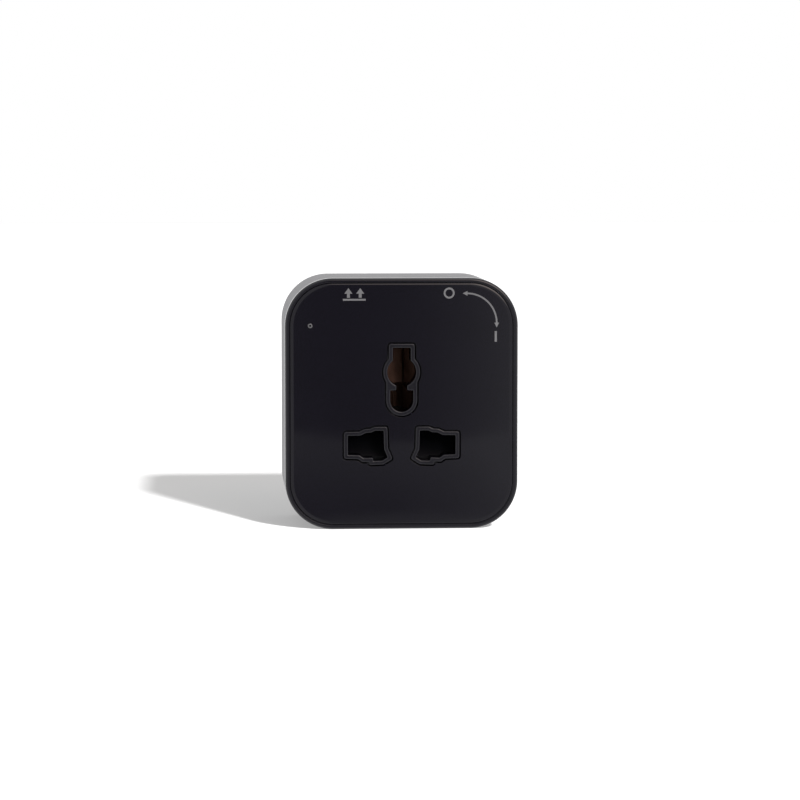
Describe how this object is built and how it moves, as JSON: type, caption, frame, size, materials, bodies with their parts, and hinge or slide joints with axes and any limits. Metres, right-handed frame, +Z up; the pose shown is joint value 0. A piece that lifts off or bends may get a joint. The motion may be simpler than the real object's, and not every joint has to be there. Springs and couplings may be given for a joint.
{
  "type": "smart plug",
  "caption": "Twist-in track adapter with a universal pin socket, quarter-turn locking collar, contact head and sprung safety shutter.",
  "frame": {"origin": "centre of the bounding box on the plane that the housing stands on", "axes": "+Z up along the housing's height, face towards -Y, contact head towards +Y, +X to the right seen from the front"},
  "size_m": [0.0636, 0.05, 0.0685],
  "materials": {
    "gloss_black": "gloss",
    "semi_gloss_black": "collars and base of the socket moulding",
    "satin_black": "satin",
    "satin_grey": "satin",
    "print_grey": "matt print",
    "clear": "polished",
    "brass": "rolled strip",
    "screw_steel": "zinc plated",
    "spring_steel": "bright wire",
    "thermoset": "moulded thermoset",
    "board_green": "solder mask",
    "board_dark": "solder mask",
    "relay_blue": "satin",
    "tape_yellow": "winding tape",
    "can_sleeve": "shrink sleeve",
    "film_yellow": "cast resin",
    "varistor_blue": "dipped epoxy",
    "fuse_white": "ceramic",
    "chip_black": "moulded epoxy",
    "coil_copper": "enamelled wire",
    "led_white": "clear lens",
    "shield_tin": "tin plated",
    "lead_brown": "insulation",
    "lead_blue": "insulation",
    "lead_green": "insulation"
  },
  "bodies": {
    "housing": {"face_panel": "gloss_black", "face_marks": "print_grey", "front_frame": "gloss_black", "main_shell": "satin_grey", "rear_cover": "satin_grey", "cover_screws": "screw_steel", "light_pipe": "clear", "socket_core": "semi_gloss_black", "shutter_guide": "satin_black", "shutter_spring": "spring_steel", "contact_carrier": "thermoset", "carrier_screws": "screw_steel", "live_contact": "brass", "neutral_contact": "brass", "earth_contact": "brass", "control_board": "board_green", "board_screws": "screw_steel", "relay": "relay_blue", "transformer": "tape_yellow", "bulk_capacitor": "can_sleeve", "suppression_capacitor": "film_yellow", "varistor": "varistor_blue", "fuse": "fuse_white", "bridge_rectifier": "chip_black", "choke": "coil_copper", "surface_mount_parts": "chip_black", "indicator_led": "led_white", "wireless_module": "board_dark", "wireless_shield": "shield_tin", "live_lead": "lead_brown", "neutral_lead": "lead_blue", "earth_lead": "lead_green", "track_head": "satin_black", "head_flange": "thermoset", "flange_screws": "screw_steel", "head_cap": "satin_black", "cap_screws": "screw_steel", "head_live_contact": "brass", "head_neutral_contact": "brass", "head_earth_contact": "brass", "wave_washer": "spring_steel"},
    "turn_collar": {"slot_collar": "satin_black"},
    "shutter": {"shutter_slider": "satin_black"}
  },
  "joints": [
    {"name": "quarter_turn", "type": "hinge", "parent": "housing", "child": "turn_collar", "pos_m": [0, 0, 0.03425], "axis": [0, -1, 0], "range_deg": [0, 90]},
    {"name": "shutter_slide", "type": "slide", "parent": "housing", "child": "shutter", "axis": [0, 0, -1], "range_m": [0, 0.0085], "stiffness_N_per_m": 60, "springref_m": -0.004, "deforming": ["shutter_spring"]}
  ]
}
